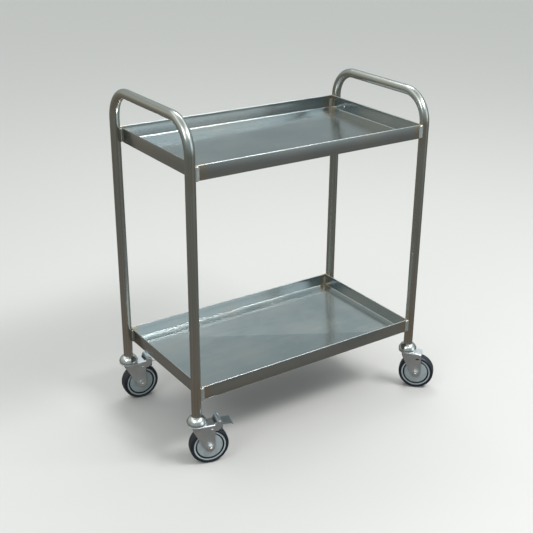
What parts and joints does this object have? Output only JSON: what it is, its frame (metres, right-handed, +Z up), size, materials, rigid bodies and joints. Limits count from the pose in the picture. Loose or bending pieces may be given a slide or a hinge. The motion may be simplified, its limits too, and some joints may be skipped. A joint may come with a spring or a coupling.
{
  "type": "rolling salon trolley",
  "caption": "Stainless steel two-tray trolley: lipped trays welded between tubular end hoops that form the handles, on swivel casters, some with foot brakes.",
  "frame": {"origin": "on the floor under the centre of the whole trolley's outline, casters included, as they are turned here", "axes": "+X along the trays from the taller handle towards the lower one, +Y across the trays towards the back long side, +Z up"},
  "size_m": [0.7948, 0.4648, 0.8895],
  "materials": {
    "tube_steel": "satin stainless tube",
    "sheet_steel": "semi-bright brushed stainless sheet",
    "weld_metal": "dressed weld metal",
    "zinc_steel": "zinc plated pressed steel",
    "bright_chrome": "polished plating",
    "grey_plastic": "moulded grey nylon",
    "guard_plastic": "moulded grey disc",
    "tyre_rubber": "smooth dark tread rubber",
    "shoe_rubber": "moulded brake rubber"
  },
  "bodies": {
    "frame": {"hoop_left": "tube_steel", "hoop_right": "tube_steel", "tray_top": "sheet_steel", "tray_lower": "sheet_steel", "stiffener_top": "sheet_steel", "stiffener_lower": "sheet_steel", "welds_top": "weld_metal", "welds_lower": "weld_metal", "caster_stems": "zinc_steel", "leg_plugs": "grey_plastic", "caster_caps": "bright_chrome"},
    "swivel_front_left": {"fork_front_left": "zinc_steel", "race_front_left": "zinc_steel", "balls_front_left": "bright_chrome", "axle_front_left": "zinc_steel", "sleeve_front_left": "zinc_steel", "rivets_front_left": "zinc_steel", "pedal_pin_front_left": "zinc_steel"},
    "wheel_front_left": {"hub_front_left": "grey_plastic", "tyre_front_left": "tyre_rubber", "guards_front_left": "guard_plastic"},
    "brake_front_left": {"pedal_front_left": "zinc_steel", "brake_shoe_front_left": "shoe_rubber"},
    "swivel_back_left": {"fork_back_left": "zinc_steel", "race_back_left": "zinc_steel", "balls_back_left": "bright_chrome", "axle_back_left": "zinc_steel", "sleeve_back_left": "zinc_steel", "rivets_back_left": "zinc_steel", "pedal_pin_back_left": "zinc_steel"},
    "wheel_back_left": {"hub_back_left": "grey_plastic", "tyre_back_left": "tyre_rubber", "guards_back_left": "guard_plastic"},
    "brake_back_left": {"pedal_back_left": "zinc_steel", "brake_shoe_back_left": "shoe_rubber"},
    "swivel_front_right": {"fork_front_right": "zinc_steel", "race_front_right": "zinc_steel", "balls_front_right": "bright_chrome", "axle_front_right": "zinc_steel", "sleeve_front_right": "zinc_steel"},
    "wheel_front_right": {"hub_front_right": "grey_plastic", "tyre_front_right": "tyre_rubber", "guards_front_right": "guard_plastic"},
    "swivel_back_right": {"fork_back_right": "zinc_steel", "race_back_right": "zinc_steel", "balls_back_right": "bright_chrome", "axle_back_right": "zinc_steel", "sleeve_back_right": "zinc_steel"},
    "wheel_back_right": {"hub_back_right": "grey_plastic", "tyre_back_right": "tyre_rubber", "guards_back_right": "guard_plastic"}
  },
  "joints": [
    {"name": "swivel_front_left", "type": "hinge", "parent": "frame", "child": "swivel_front_left", "pos_m": [-0.3721, -0.16691, 0.112], "axis": [0, 0, 1], "continuous": true},
    {"name": "spin_front_left", "type": "hinge", "parent": "swivel_front_left", "child": "wheel_front_left", "pos_m": [-0.34422, -0.1749, 0.05], "axis": [0.2756, 0.9613, 0], "continuous": true},
    {"name": "pedal_front_left", "type": "hinge", "parent": "swivel_front_left", "child": "brake_front_left", "pos_m": [-0.32115, -0.18152, 0.119], "axis": [0.2756, 0.9613, 0], "range_deg": [0, 12]},
    {"name": "swivel_back_left", "type": "hinge", "parent": "frame", "child": "swivel_back_left", "pos_m": [-0.3721, 0.20709, 0.112], "axis": [0, 0, 1], "continuous": true},
    {"name": "spin_back_left", "type": "hinge", "parent": "swivel_back_left", "child": "wheel_back_left", "pos_m": [-0.34325, 0.20406, 0.05], "axis": [0.1045, 0.9945, 0], "continuous": true},
    {"name": "pedal_back_left", "type": "hinge", "parent": "swivel_back_left", "child": "brake_back_left", "pos_m": [-0.31938, 0.20155, 0.119], "axis": [0.1045, 0.9945, 0], "range_deg": [0, 12]},
    {"name": "swivel_front_right", "type": "hinge", "parent": "frame", "child": "swivel_front_right", "pos_m": [0.3239, -0.16691, 0.112], "axis": [0, 0, 1], "continuous": true},
    {"name": "spin_front_right", "type": "hinge", "parent": "swivel_front_right", "child": "wheel_front_right", "pos_m": [0.34368, -0.18812, 0.05], "axis": [0.7314, 0.682, 0], "continuous": true},
    {"name": "swivel_back_right", "type": "hinge", "parent": "frame", "child": "swivel_back_right", "pos_m": [0.3239, 0.20709, 0.112], "axis": [0, 0, 1], "continuous": true},
    {"name": "spin_back_right", "type": "hinge", "parent": "swivel_back_right", "child": "wheel_back_right", "pos_m": [0.34902, 0.19259, 0.05], "axis": [0.5, 0.866, 0], "continuous": true}
  ]
}
